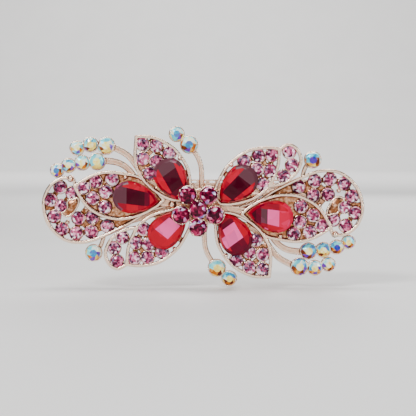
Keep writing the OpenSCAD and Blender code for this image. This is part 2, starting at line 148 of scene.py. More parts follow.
def finish_piece(piece, slot, material, *nodes):
    """Gives a piece its finish and its body, and hides the CAD nodes that it stands for."""
    piece.data.materials.clear()
    piece.data.materials.append(material)
    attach(piece, ORNAMENT)
    if nodes:
        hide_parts(*nodes)
    return piece


# %% [markdown]
# ## Finishes as expressions
# A finish is a graph of nodes, but most of it is arithmetic. A small class wraps an output so that
# `1 - mask` or `0.2 + 0.3 * grain` adds the Math nodes by itself. Any other node comes from one
# method. Colours go through Mix nodes, because a Math node would turn them grey.


# %% Shader maths
class Value:
    """An output of a node that can be used in an expression."""

    def __init__(self, finish, output):
        self.finish = finish
        self.output = output

    def maths(self, operation, a, b):
        """One Math node; a plain number becomes the value of its socket."""
        return self.finish.node("ShaderNodeMath", {"operation": operation}, {0: a, 1: b})

    def __add__(self, other):
        return self.maths("ADD", self, other)

    def __sub__(self, other):
        return self.maths("SUBTRACT", self, other)

    def __rsub__(self, other):
        return self.maths("SUBTRACT", other, self)

    def __mul__(self, other):
        return self.maths("MULTIPLY", self, other)

    __radd__ = __add__
    __rmul__ = __mul__


class Finish:
    """A material and the few ways in which its nodes are made."""

    def __init__(self, name):
        self.material = bpy.data.materials.new(name)
        self.material.use_nodes = True
        self.tree = self.material.node_tree
        self.shader = self.tree.nodes["Principled BSDF"]

    def feed(self, socket, value):
        """Links an expression to a socket, or sets a plain value on it."""
        if isinstance(value, Value):
            self.tree.links.new(value.output, socket)
        else:
            socket.default_value = value

    def node(self, kind, settings, sockets, output=0):
        """Any shader node, with its settings and what feeds its sockets."""
        made = self.tree.nodes.new(kind)
        for key, value in settings.items():
            setattr(made, key, value)
        for key, value in sockets.items():
            self.feed(made.inputs[key], value)
        return Value(self, made.outputs[output])

    def place(self):
        """Where a point lies on the object."""
        return self.node("ShaderNodeTexCoord", {}, {}, "Object")

    def attribute(self, name, output="Fac"):
        """A number or a colour that the mesh carries."""
        return self.node("ShaderNodeAttribute", {"attribute_name": name}, {}, output)

    def noise(self, per_mm, detail=3, where=None):
        """Smooth grain with about this many features to a millimetre, from 0 to 1."""
        sockets = {"Vector": where or self.place(), "Scale": per_mm / MM, "Detail": detail}
        return self.node("ShaderNodeTexNoise", {}, sockets, "Fac")

    def stretch(self, value, low, high):
        """Turns the range from low to high into the range from 0 to 1."""
        sockets = {"Value": value, "From Min": low, "From Max": high}
        return self.node("ShaderNodeMapRange", {}, sockets, "Result")

    def mix(self, factor, a, b):
        """A colour between two colours."""
        return self.node("ShaderNodeMix", {"data_type": "RGBA"}, {0: factor, 6: (*a, 1), 7: (*b, 1)}, 2)

    def ramp(self, factor, stops):
        """A colour from a row of stops, each with a position and a colour."""
        made = self.tree.nodes.new("ShaderNodeValToRGB")
        ramp = made.color_ramp
        while len(ramp.elements) < len(stops):
            ramp.elements.new(1)
        for element, (position, colour) in zip(ramp.elements, stops):
            element.position = position
            element.color = (*colour, 1)
        self.feed(made.inputs["Fac"], factor)
        return Value(self, made.outputs["Color"])

    def bump(self, height, strength, distance):
        """A normal that shows small heights without moving the surface."""
        sockets = {"Height": height, "Strength": strength, "Distance": distance}
        return self.node("ShaderNodeBump", {}, sockets, "Normal")

    def surface(self, **sockets):
        """Feeds the main shader; an underscore in a name stands for a space."""
        for key, value in sockets.items():
            self.feed(self.shader.inputs[key.replace("_", " ")], value)
        return self.material


# %% [markdown]
# ## Rose gold
# The ornament is cast, plated and tumbled. Its colour follows how proud the surface stands, which
# Cycles knows as pointiness: crests get a painted highlight that is almost white, and hollows a
# painted copper shade. Each cast frame also carries the height above its back as an attribute, and
# its low places between the stones get the same painted shade, with dark and bright specks where
# the tumbling medium did not reach. Edges that turn away from the camera get a painted deeper shade.


# %% Rose gold finishes
# From the painted shade of the deepest hollow to the painted highlight of the brightest crest.
GOLD_SHADES = (
    (0.1, (0.1, 0.028, 0.01)),
    (0.35, (0.33, 0.115, 0.045)),
    (0.55, (0.76, 0.42, 0.26)),
    (0.75, (1.0, 0.75, 0.58)),
)


def rose_gold_finish(name, depth_shaded):
    """Rose gold with painted shade in hollows and a highlight on crests, optionally on low places too."""
    finish = Finish(name)
    dents = finish.noise(0.9, 4)
    grain = finish.noise(5.0, 2)
    pointiness = finish.node("ShaderNodeNewGeometry", {}, {}, "Pointiness")
    # Painted shade and highlight: pointiness takes hollows towards dark copper and crests towards white.
    painted_light_and_specks = finish.stretch(pointiness, 0.46, 0.54)
    # Painted shade by view: Layer Weight deepens the base colour where the surface turns away from the
    # camera.
    edge = finish.node("ShaderNodeLayerWeight", {}, {"Blend": 0.5}, "Facing")
    if depth_shaded:
        # Painted shade: places far from the front of the frame get the copper shade, and only they get the
        # specks.
        level = finish.stretch(finish.attribute("rise"), 0.3, 0.85)
        speckle = finish.noise(1.6, 1)
        painted_light_and_specks = 0.35 * painted_light_and_specks + 0.6 * level + 0.9 * (speckle - 0.5) * (1 - level)
    return finish.surface(
        Base_Color=finish.ramp(0.85 * painted_light_and_specks + 0.35 * dents - 0.7 * edge, GOLD_SHADES),
        Metallic=1.0,
        Roughness=0.12 + 0.2 * dents,
        Normal=finish.bump(dents + 0.3 * grain, 0.6, 0.2 * MM),
    )


# The first finish paints shade in hollows and a highlight on crests; the second also paints shade low down.
rose_gold = rose_gold_finish("polished_rose_gold", False)
depth_shaded_gold = rose_gold_finish("depth_shaded_rose_gold", True)
print("finishes:", rose_gold.name, depth_shaded_gold.name)

# %% [markdown]
# ## Steel
# The clasp arm and the catch are nickel-plated steel, and the spring bar and the prongs are a
# darker spring steel. Strip steel is brushed along its length, so the grain is a noise that is
# stretched along X. Slow stains keep a large flat face from looking like plain grey paint.


# %% Steel finishes
def steel_finish(name, pale, dark, rough):
    """Steel with fine brushing along the strip and faint stains."""
    finish = Finish(name)
    along = finish.node("ShaderNodeMapping", {}, {"Vector": finish.place(), "Scale": (0.06, 1.0, 1.0)})
    brushing = finish.noise(9.0, 3, along)
    stains = finish.noise(0.25, 4)
    return finish.surface(
        Base_Color=finish.mix(stains, dark, pale),
        Metallic=1.0,
        Roughness=rough + 0.18 * brushing + 0.1 * stains,
        Normal=finish.bump(brushing, 0.25, 0.03 * MM),
    )


plated_steel = steel_finish("nickel_plated_steel", (0.74, 0.73, 0.72), (0.48, 0.47, 0.47), 0.18)
spring_steel = steel_finish("sprung_steel", (0.68, 0.68, 0.7), (0.42, 0.42, 0.45), 0.14)
print("finishes:", plated_steel.name, spring_steel.name)

# %% [markdown]
# ## Foil-backed stones
# A rhinestone is glass with a mirror behind it. Light enters through one facet and leaves through
# another, so each facet shows its own patch of bright or dark. True refraction would be slow and
# noisy at this size, so every facet carries a random number in its mesh, and the finish turns it
# into a patch of painted reflection, which also glows as painted light. A fine cell pattern adds the
# smaller painted reflections inside each facet.


# %% Stone finishes
def stone_finish(name, shades, cells_per_mm, cell_share, metallic, painted_glow, coat):
    """Painted reflections as patches by facet number, with a finer cell pattern, and a painted glow."""
    finish = Finish(name)
    facet = finish.node("ShaderNodeSeparateColor", {}, {"Color": finish.attribute("facet", "Color")}, "Red")
    sockets = {"Vector": finish.place(), "Scale": cells_per_mm / MM}
    cells = finish.node("ShaderNodeTexVoronoi", {"feature": "F1"}, sockets, "Color")
    cell = finish.node("ShaderNodeSeparateColor", {}, {"Color": cells}, "Green")
    # Painted reflections: the facet number and the cells pick a patch from the ramp.
    patch = finish.ramp(facet + cell_share * (cell - 0.5), shades)
    return finish.surface(
        Base_Color=patch,
        # Painted glow: the same patch is also emitted, though a stone is no lamp.
        Emission_Color=patch,
        Emission_Strength=painted_glow,
        Metallic=metallic,
        Roughness=0.05 + 0.1 * cell,
        Specular_IOR_Level=0.12,
        Coat_Weight=coat,
        Coat_Roughness=0.03,
    )


# %% Pink and rose stones
# A painted grey reflection of the room, then from the darkest facet up to a painted sparkle.
PINK_SHADES = (
    (0.0, (0.2, 0.13, 0.22)),
    (0.1, (0.03, 0.0, 0.01)),
    (0.3, (0.14, 0.008, 0.045)),
    (0.48, (0.5, 0.07, 0.18)),
    (0.72, (0.85, 0.3, 0.48)),
    (0.92, (1.0, 0.85, 0.93)),
)
# The flower's stones also get a painted violet flash.
ROSE_SHADES = (
    (0.14, (0.03, 0.0, 0.008)),
    (0.38, (0.12, 0.0, 0.02)),
    (0.58, (0.45, 0.02, 0.1)),
    (0.76, (0.86, 0.26, 0.42)),
    (0.84, (0.12, 0.05, 0.4)),
    (0.93, (0.95, 0.85, 0.95)),
)
pink_stone = stone_finish("light_rose_stone", PINK_SHADES, 1.8, 0.3, 0.1, 0.12, 0.1)
rose_stone = stone_finish("deep_rose_stone", ROSE_SHADES, 1.4, 0.25, 0.1, 0.12, 0.1)
print("finishes:", pink_stone.name, rose_stone.name)


# %% Aurora and red stones
# The rainbow coating is real; which colour each facet shows, from blue and violet through cyan and
# white to yellow and amber, is a painted reflection.
AURORA_SHADES = (
    (0.04, (0.01, 0.03, 0.35)),
    (0.15, (0.2, 0.02, 0.4)),
    (0.26, (0.0, 0.25, 0.5)),
    (0.4, (0.2, 0.8, 0.85)),
    (0.5, (0.95, 1.0, 0.95)),
    (0.62, (1.0, 0.85, 0.2)),
    (0.8, (0.6, 0.15, 0.0)),
    (0.96, (0.12, 0.02, 0.01)),
)
# Deep red glass, then the painted pink of a bright reflection and the painted mauve of a dull one.
RED_SHADES = (
    (0.0, (0.04, 0.0, 0.006)),
    (0.16, (0.08, 0.0, 0.012)),
    (0.36, (0.2, 0.0, 0.012)),
    (0.56, (0.42, 0.0, 0.014)),
    (0.7, (0.6, 0.004, 0.05)),
    (0.83, (0.88, 0.1, 0.34)),
    (0.94, (0.09, 0.028, 0.04)),
)
aurora_stone = stone_finish("aurora_stone", AURORA_SHADES, 0.7, 0.1, 0.1, 0.2, 0.08)
red_stone = stone_finish("ruby_red_stone", RED_SHADES, 0.5, 0.08, 0.0, 0.22, 0.02)
print("finishes:", aurora_stone.name, red_stone.name)

# %% [markdown]
# ## Cast frames
# The CAD frames have the right plan and height but square edges. A real casting is round: its rims
# read as wires, and solder and plating fill the corners. A voxel remesh welds each frame into one
# skin and a little smoothing rounds it, which bevels could not do on such small mixed edges. The
# skin is first moved outwards by a thick coat of plating, which the smoothing partly takes back.


# %% Cast the frames
PLATING = 0.13 * MM
# What faces back at least this much is tumbled smooth and counts as high, so it gets no painted depth shade.
BACK_FACING = 0.3
BACK_RISE = 0.7
COARSE = 1
BIG_VOXEL = 0.15 * MM * COARSE
SMALL_VOXEL = 0.13 * MM * COARSE
BRANCH_VOXEL = 0.2 * MM * COARSE


def cast(node, voxel, passes, material):
    """A rounded skin over a CAD node, which it replaces."""
    piece = copy_of(frame["nodes"][node], node + "_cast")
    merge_corners(piece)
    done()
    shape(piece, "weld_skin", "REMESH", mode="VOXEL", voxel_size=voxel)
    shape(piece, "plate_up", "DISPLACE", strength=PLATING, mid_level=0)
    shape(piece, "tumble", "SMOOTH", factor=0.5, iterations=passes)
    bpy.ops.object.shade_smooth()
    front, back = (corner.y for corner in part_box(node))
    # The rise tells the finish how low each place is, for the painted shade of low places.
    rise = piece.data.attributes.new("rise", "FLOAT", "POINT").data
    for vert in piece.data.vertices:
        at_back = vert.normal.y > BACK_FACING
        rise[vert.index].value = BACK_RISE if at_back else (back - vert.co.y) / (back - front)
    return finish_piece(piece, "rose_gold", material, node)


WINGS = ("left", "right")
BIG_PARTS = ("_paisley_frame", "_tall_leaf_frame", "_side_leaf_frame", "_lobed_leaf_frame")
SMALL_PARTS = ("_long_spray_frame", "_short_spray_frame", "_antenna_frame", "_accent_frame")
# The big frames get painted shade on their low places between the stones.
for node in [side + part for side in WINGS for part in BIG_PARTS]:
    cast(node, BIG_VOXEL, 3, depth_shaded_gold)
for node in [side + part for side in WINGS for part in SMALL_PARTS] + ["flower_setting", "hub"]:
    cast(node, SMALL_VOXEL, 4, rose_gold)
for node in ("branch_left", "branch_right"):
    cast(node, BRANCH_VOXEL, 3, rose_gold)
print("cast frames:", 2 * len(BIG_PARTS) + 2 * len(SMALL_PARTS) + 4)

# %% [markdown]
# ## Round stones
# The round stones share two cuts: a fine one with twelve sides, and a bold one with eight for the
# aurora stones. Each starts as a short cylinder. Its top is extruded twice, each time narrower and
# turned by half a facet, which gives the kite and triangle facets of a brilliant. The table is
# poked into a fan, because a real table shows a star of reflections from below.


# %% Cut the two patterns
# A face whose normal rises more than this belongs to the table.
TABLE_FACING = 0.95


def cut_round_stone(name, sides, girdle, steps):
    """A stone of radius 1 that stands on z = 0; each step is a rise and a narrowing."""
    bpy.ops.object.select_all(action="DESELECT")
    bpy.ops.mesh.primitive_cylinder_add(vertices=sides, radius=1, depth=girdle, location=(0, 0, girdle / 2))
    stone = bpy.context.object
    stone.name = name
    bpy.ops.object.transform_apply(location=True, rotation=True, scale=True)
    edit(stone)
    pick(stone, lambda face: face.normal.z > TABLE_FACING)
    for rise, width in steps:
        bpy.ops.mesh.extrude_region_move(TRANSFORM_OT_translate={"value": (0, 0, rise)})
        bpy.ops.transform.resize(value=(width, width, 1))
        bpy.ops.transform.rotate(value=math.pi / sides, orient_axis="Z", center_override=(0, 0, 0))
    bpy.ops.mesh.poke()
    pick(stone, lambda face: 0.1 < face.normal.z < TABLE_FACING)
    bpy.ops.mesh.quads_convert_to_tris(quad_method="SHORTEST_DIAGONAL", ngon_method="BEAUTY")
    done()
    stone.data.attributes.new("facet", "FLOAT_COLOR", "CORNER")
    return stone


fine_cut = cut_round_stone("fine_cut", 12, 0.16, ((0.26, 0.8), (0.16, 0.6)))
bold_cut = cut_round_stone("bold_cut", 8, 0.2, ((0.3, 0.86), (0.2, 0.54)))
print("facets:", len(fine_cut.data.polygons), "and", len(bold_cut.data.polygons))

# %% [markdown]
# ## Where the stones sit
# A jeweller sets each stone in its own seat. The CAD node of a group holds one solid for each stone,
# so the seats are found by walking from corner to corner until each solid is complete.


# %% Find the seats
FACE_FRONT = Matrix.Rotation(math.pi / 2, 4, "X")
SLOTS = {part["node"]: part["material_slot"] for part in frame["record"]["subparts"]}


def seats(node):
    """The lowest and highest corner of every separate solid in a CAD node."""
    mesh = bmesh.new()
    mesh.from_mesh(frame["nodes"][node].data)
    bmesh.ops.remove_doubles(mesh, verts=mesh.verts, dist=SAME)
    unseen = set(mesh.verts)
    found = []
    while unseen:
        solid = set()
        front = [unseen.pop()]
        while front:
            vert = front.pop()
            solid.add(vert)
            near = [edge.other_vert(vert) for edge in vert.link_edges]
            front += [v for v in near if v in unseen]
            unseen.difference_update(near)
        corners = [[end(v.co[axis] for v in solid) for axis in range(3)] for end in (min, max)]
        found.append((Vector(corners[0]), Vector(corners[1])))
    mesh.free()
    return sorted(found, key=lambda box: (round(box[0].x, 5), round(box[0].z, 5)))


print("seats in the flower:", len(seats("flower_petal_stones")))

# %% [markdown]
# ## Light and dark facets
# In a real stone, neighbouring facets send back very different parts of the room; here these
# reflections are painted. So each stone gets a look: numbers for the petals round its edge that face
# up, for those that face down, and for its table, so that up and down get different painted light.
# A number is a place on the ramp of the finish. Facets are numbered in the order of where they
# lie, because mesh operators don't keep the same order of faces from one run to the next.


# %% Number the facets
TURN_STEPS = 48
RING_STEPS = 20
# Further out than this ring lies the outer half of a petal.
OUTER_RING = 15
# Some facets lie just between two petals, and this share of a petal takes them to one side.
PETAL_SHIFT = 0.25
PETAL_SHADE = 0.05


def facet_spot(face):
    """Height, ring and turn of a facet in whole steps, so that facets sort alike on every run."""
    across, up, height = face.center
    ring = round(RING_STEPS * math.hypot(across, up))
    step = round(TURN_STEPS * math.atan2(up, across) / (2 * math.pi)) % TURN_STEPS
    return round(RING_STEPS * height), ring, step


def number_facets(piece, turn, look, dice):
    """Numbers the facets of a stone that is turned by this much; its hidden foot is left out."""
    table = dice.choice(look["table"])
    values = piece.data.attributes["facet"].data
    petals = {}
    facets = [face for face in piece.data.polygons if face.normal.z > -0.5]
    for face in sorted(facets, key=facet_spot):
        ring, step = facet_spot(face)[1:]
        if face.normal.z > TABLE_FACING:
            number = table + dice.uniform(-look["sparkle"], look["sparkle"])
        else:
            sector = math.floor(look["petals"] * step / TURN_STEPS + PETAL_SHIFT) % look["petals"]
            petal = (sector, ring > OUTER_RING)
            if petal not in petals:
                # Petals that face up get other painted reflections than those that face down.
                faces_up = math.sin(2 * math.pi * step / TURN_STEPS + turn) > 0
                petals[petal] = dice.choice(look["above" if faces_up else "below"])
            number = petals[petal] + dice.uniform(-PETAL_SHADE, PETAL_SHADE)
        for corner in face.loop_indices:
            values[corner].color = (number, 0, 0, 1)


# Each look gives places on a ramp of painted reflections; the two aurora looks differ by wing.
PINK_LOOK = {
    "petals": 12, "sparkle": 0.25, "table": (0.3, 0.45, 0.6),
    "above": (0.0, 0.12, 0.25, 0.5, 0.75), "below": (0.12, 0.25, 0.5, 0.85, 0.95),
}
ROSE_LOOK = {
    "petals": 12, "sparkle": 0.2, "table": (0.2, 0.3, 0.42),
    "above": (0.15, 0.3, 0.4, 0.5, 0.84), "below": (0.15, 0.3, 0.45, 0.6, 0.76),
}
PALE_AURORA = {
    "petals": 8, "sparkle": 0.04, "table": (0.56, 0.6, 0.58, 0.26),
    "above": (0.32, 0.4, 0.48, 0.52), "below": (0.4, 0.66, 0.8, 0.15, 0.96),
}
BRIGHT_AURORA = {
    "petals": 8, "sparkle": 0.04, "table": (0.62, 0.6, 0.06),
    "above": (0.26, 0.34, 0.42, 0.5), "below": (0.15, 0.68, 0.8, 0.96),
}
print("looks: pink, rose, pale aurora, bright aurora")

# %% [markdown]
# ## Setting the round stones
# Each stone is a copy of its cut, a little wider than its seat because it stands on the rim of its
# cup. No stone is set quite straight, so each one gets its own turn and a small tilt.


# %% Set the round stones
SINK = 0.25 * MM
TILT = 0.07
LEAF_GROW = 1.17
CUP_GROW = 1.12


def set_stones(node, cut, material, grow, look, dice):
    """One cut stone on every CAD stone of a node."""
    pieces = []
    for lo, hi in seats(node):
        radius = grow * (hi.x - lo.x) / 2
        turn = dice.uniform(0, math.pi)
        stone = copy_of(cut, "stone")
        number_facets(stone, turn, look, dice)
        middle = Vector(((lo.x + hi.x) / 2, hi.y - SINK, (lo.z + hi.z) / 2))
        nod = Matrix.Rotation(dice.uniform(-TILT, TILT), 4, "X")
        lean = Matrix.Rotation(dice.uniform(-TILT, TILT), 4, "Y")
        size = Matrix.Diagonal((radius, radius, radius, 1))
        place = Matrix.Translation(middle) @ FACE_FRONT @ nod @ lean @ Matrix.Rotation(turn, 4, "Z")
        stone.data.transform(place @ size)
        pieces.append(stone)
    return finish_piece(joined(pieces, node + "_cut"), SLOTS[node], material, node)


dice = random.Random(7)
for side, aurora_look in (("left", PALE_AURORA), ("right", BRIGHT_AURORA)):
    for part in ("_paisley_stones", "_tall_leaf_stones", "_side_leaf_stones", "_lobed_leaf_stones"):
        set_stones(side + part, fine_cut, pink_stone, LEAF_GROW, PINK_LOOK, dice)
    for part in ("_long_spray_stones", "_short_spray_stones", "_antenna_stones", "_accent_stone"):
        set_stones(side + part, bold_cut, aurora_stone, CUP_GROW, aurora_look, dice)
for node in ("flower_petal_stones", "flower_centre_stone"):
    set_stones(node, fine_cut, rose_stone, CUP_GROW, ROSE_LOOK, dice)
for tool in (fine_cut, bold_cut):
    bpy.data.objects.remove(tool)
print("round stones set")

# %% [markdown]
# ## Claws
# Each stone is held by claws: beads of metal pushed over its edge. One bead is modelled from a
# small sphere, flattened at its foot, and copied round every stone.


# %% Model a claw
def model_claw():
    """A small ball of radius 1 with a wide flat foot, for claws and for beads of solder."""
    bpy.ops.object.select_all(action="DESELECT")
    bpy.ops.mesh.primitive_uv_sphere_add(segments=8, ring_count=6, radius=1)
    claw = bpy.context.object
    edit(claw)
    pick(claw, lambda face: face.calc_center_median().z < -0.5)
    bpy.ops.transform.resize(value=(1.3, 1.3, 0.4))
    done()
    bpy.ops.object.shade_smooth()
    return claw


claw = model_claw()
print("claw:", len(claw.data.polygons), "faces")


# %% Set the claws
CLAWS_PER_STONE = 4
CLAW_CIRCLE = 1.08
CLAW_HEIGHT = 0.62 * MM
CLAW_STRETCH = 1.4
LEAF_CLAW = 0.26 * MM
FLOWER_CLAW = 0.36 * MM


def set_claws(node, size, dice):
    """Claws round every stone of a node, half over its edge."""
    pieces = []
    for lo, hi in seats(node):
        reach = CLAW_CIRCLE * (hi.x - lo.x) / 2
        start = dice.uniform(0, 2 * math.pi)
        for step in range(CLAWS_PER_STONE):
            angle = start + 2 * math.pi * step / CLAWS_PER_STONE
            spot = Vector((
                (lo.x + hi.x) / 2 + reach * math.cos(angle),
                hi.y - CLAW_HEIGHT,
                (lo.z + hi.z) / 2 + reach * math.sin(angle),
            ))
            bead = copy_of(claw, "claw")
            stretch = Matrix.Diagonal((size, size, CLAW_STRETCH * size, 1))
            bead.data.transform(Matrix.Translation(spot) @ FACE_FRONT @ stretch)
            pieces.append(bead)
    return finish_piece(joined(pieces, node + "_claws"), "rose_gold", rose_gold)


stone_nodes = [node for node in sorted(frame["nodes"]) if "stone" in node]
for node in stone_nodes:
    set_claws(node, FLOWER_CLAW if "flower" in node else LEAF_CLAW, dice)
print("claws set on", len(stone_nodes), "groups of stones")

# %% [markdown]
# ## Swirl cores, curls and beads
# In the middle of each swirl lies a smooth copper teardrop with a bright wire curled round it.
# Both start from the core's face in the CAD frame, merged into one flat face and softened. The
# teardrop is that face, raised into a low dome. For the wire only its outline is kept; it becomes a
# curve, and the curve gets a round thickness. Solder also leaves round beads where rims and webs
# meet, as tall as the rims around them.


# %% Swirl cores
DOME_STEPS = ((0.25 * MM, 0.88), (0.2 * MM, 0.75), (0.1 * MM, 0.55))
CURL_WIRE = 0.6 * MM


def core_face(node, name):
    """The face of a frame's second level, the swirl's core, as one softened outline."""
    core = copy_of(frame["nodes"][node], name)
    merge_corners(core)
    faces = bmesh.from_edit_mesh(core.data).faces
    levels = sorted({round(face.calc_center_median().y, 5) for face in faces if face.normal.y < -0.99})

    def is_core(face):
        """Whether a face lies on the second level from the front."""
        return face.normal.y < -0.99 and abs(face.calc_center_median().y - levels[1]) < 2 * LEVEL

    pick(core, lambda face: not is_core(face))
    bpy.ops.mesh.delete(type="FACE")
    bpy.ops.mesh.select_all(action="SELECT")
    bpy.ops.mesh.dissolve_faces()
    bpy.ops.mesh.select_all(action="SELECT")
    bpy.ops.mesh.vertices_smooth(factor=0.5, repeat=6)
    return core


def swirl_core(node, name):
    """A low copper dome over the core; a rise of 0 everywhere gives it the painted shade of low places."""
    core = core_face(node, name)
    for rise, width in DOME_STEPS:
        bpy.ops.mesh.extrude_region_move(TRANSFORM_OT_translate={"value": (0, -rise, 0)})
        bpy.ops.transform.resize(value=(width, 1, width))
    done()
    bpy.ops.object.shade_smooth()
    core.data.attributes.new("rise", "FLOAT", "POINT")
    return finish_piece(core, "rose_gold", depth_shaded_gold)


def curl_wire(node, name):
    """A round wire along the outline of the core."""
    core_face(node, name)
    bpy.ops.mesh.delete(type="ONLY_FACE")
    done()
    bpy.ops.object.convert(target="CURVE")
    wire = bpy.context.object
    wire.data.bevel_depth = CURL_WIRE / 2
    wire.data.bevel_resolution = 2
    bpy.ops.object.convert(target="MESH")
    bpy.ops.object.shade_smooth()
    return finish_piece(bpy.context.object, "rose_gold", rose_gold)


for side in WINGS:
    core = swirl_core(side + "_paisley_frame", side + "_swirl_core")
    wire = curl_wire(side + "_paisley_frame", side + "_swirl_curl")
    print(core.name, len(core.data.polygons), "faces,", wire.name, len(wire.data.polygons), "faces")

# %% Beads
# Each bead is [across, up, out from the plate, radius] in mm, on the left wing; the right wing is the
# left one turned by half a turn. A bead stands out a little further than it is wide.
BEAD_STRETCH = 1.3
BEADS = (
    (-30.3, -0.3, 2.2, 0.6), (-35.2, -4.1, 2.2, 0.6), (-28.2, -4.4, 2.2, 0.5), (-34.2, 7.2, 3.2, 0.9),
    (-5.9, 12.5, 4.9, 0.6), (-19.9, 7.6, 4.9, 0.6), (-7.3, -10.8, 4.9, 0.55), (-8.4, 19.2, 2.6, 0.4),
)
swirl_boxes = [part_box(side + "_paisley_frame") for side in WINGS]
axis = sum((Vector(corner) for box in swirl_boxes for corner in box), Vector((0, 0, 0))) / 4
plate_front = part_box("branch_left")[1][1]
for side, sign in (("left", 1), ("right", -1)):
    beads = []
    for across, up, out, radius in BEADS:
        bead = copy_of(claw, "bead")
        place = Vector((axis.x + sign * across * MM, plate_front - out * MM, axis.z + sign * up * MM))
        size = Matrix.Diagonal((radius * MM, radius * MM, BEAD_STRETCH * radius * MM, 1))
        bead.data.transform(Matrix.Translation(place) @ FACE_FRONT @ size)
        beads.append(bead)
    finish_piece(joined(beads, side + "_beads"), "rose_gold", rose_gold)
bpy.data.objects.remove(claw)
print("beads:", 2 * len(BEADS))

# %% [markdown]
# ## Pear stones
# The six red pears are step cut. The outline is read from the CAD stone. Its border rises in two
# steps, and planes cut the table into strips across the stone and into a middle and two sides.
# The table is then raised like a shallow roof, so that each facet looks at another part of the room.


# %% Read a pear's outline
def pear_place(node):
    """The pear's middle, the turn of its point about the front axis, its corners and its back."""
    verts = [v.co for v in frame["nodes"][node].data.vertices]
    back = max(v.y for v in verts)
    foot = {(round(v.x, 6), round(v.z, 6)) for v in verts if v.y > back - LEVEL}
    flat = [Vector(corner) for corner in sorted(foot)]
    mean = sum(flat, Vector((0, 0))) / len(flat)
    tip = max(flat, key=lambda p: (p - mean).length)
    tail = max(flat, key=lambda p: (p - tip).length)
    middle = (tip + tail) / 2
    turn = math.atan2((tip - tail).y, (tip - tail).x)
    spin = Matrix.Rotation(-turn, 2)
    return middle, turn, [spin @ (p - middle) for p in flat], back


def pear_radius(corners, angle):
    """How far the outline lies from the middle in one direction, between its two nearest corners."""
    rays = sorted((math.atan2(p.y, p.x), p.length) for p in corners)
    rays = [(rays[-1][0] - 2 * math.pi, rays[-1][1])] + rays + [(rays[0][0] + 2 * math.pi, rays[0][1])]
    for (a, ra), (b, rb) in zip(rays, rays[1:]):
        if a <= angle <= b:
            return ra + (rb - ra) * (angle - a) / max(b - a, 1e-9)


# %% Cut a pear
PEAR_SIDES = 20
PEAR_GIRDLE = 0.4 * MM
PEAR_STEPS = ((0.8 * MM, 0.92), (0.35 * MM, 0.9))
PEAR_TOP = PEAR_GIRDLE + sum(rise for rise, width in PEAR_STEPS)
TABLE_RISE = 0.35 * MM
# The cuts of the table, as shares of the half length from the round end to the point, and of the
# half width. The cuts across lean a little, and those along draw together towards the point.
ACROSS = (-0.38, 0.12, 0.4, 0.62)
ACROSS_LEAN = 0.16
ALONG = (-0.5, 0.5)
ALONG_DRAW = 0.12


def on_table(face):
    """Whether a face of a pear lies at its top, in edit mode."""
    return face.calc_center_median().z > PEAR_TOP - LEVEL


def cut_pear(corners, half_l, half_w):
    """A step-cut pear that lies flat with its point towards +X."""
    bpy.ops.object.select_all(action="DESELECT")
    bpy.ops.mesh.primitive_circle_add(vertices=PEAR_SIDES, radius=1, fill_type="NGON")
    stone = bpy.context.object
    for vert in stone.data.vertices:
        vert.co *= pear_radius(corners, math.atan2(vert.co.y, vert.co.x))
    edit(stone)
    bpy.ops.mesh.select_all(action="SELECT")
    bpy.ops.mesh.extrude_region_move(TRANSFORM_OT_translate={"value": (0, 0, PEAR_GIRDLE)})
    for rise, width in PEAR_STEPS:
        bpy.ops.mesh.extrude_region_move(TRANSFORM_OT_translate={"value": (0, 0, rise)})
        bpy.ops.transform.resize(value=(width, width, 1), center_override=(0, 0, 0))
    for share in ACROSS:
        pick(stone, on_table)
        bpy.ops.mesh.bisect(plane_co=(share * half_l, 0, 0), plane_no=(1, ACROSS_LEAN, 0))
    for share in ALONG:
        pick(stone, on_table)
        bpy.ops.mesh.bisect(plane_co=(0, share * half_w, 0), plane_no=(ALONG_DRAW * share, 1, 0))
    mesh = bmesh.from_edit_mesh(stone.data)
    for vert in mesh.verts:
        if vert.co.z > PEAR_TOP - LEVEL:
            vert.co.z += TABLE_RISE * (1 - (vert.co.x / half_l) ** 2) * (1 - 0.5 * (vert.co.y / half_w) ** 2)
    bmesh.update_edit_mesh(stone.data)
    bpy.ops.mesh.select_all(action="SELECT")
    bpy.ops.mesh.normals_make_consistent(inside=False)
    done()
    return stone


# %% [markdown]
# ## Reflections in the pears
# Each pear sits at its own angle, so one shows the bright pink of a lamp and another only dark wine;
# these reflections are painted into the colour. A look names the painted shade of each strip of the
# table, from the round end to the point. The sides and the border stay red, as they do in a real
# stone.


# %% Give every pear its own reflections
# Places on the ramp of red glass and its painted reflections.
SHADES = {"maroon": 0.03, "wine": 0.2, "red": 0.42, "bright": 0.56, "coral": 0.7, "pink": 0.83, "mauve": 0.98}
PEAR_LOOKS = {
    "left_tall_leaf_pear": ("mauve", "maroon", "maroon", "wine", "bright"),
    "left_side_leaf_pear": ("mauve", "maroon", "maroon", "wine", "bright"),
    "left_lobed_leaf_pear": ("bright", "pink", "pink", "wine", "wine"),
    "right_tall_leaf_pear": ("wine", "pink", "pink", "wine", "red"),
    "right_side_leaf_pear": ("coral", "pink", "mauve", "wine", "maroon"),
    "right_lobed_leaf_pear": ("mauve", "maroon", "maroon", "maroon", "bright"),
}
BORDER_REDS = (0.34, 0.62)


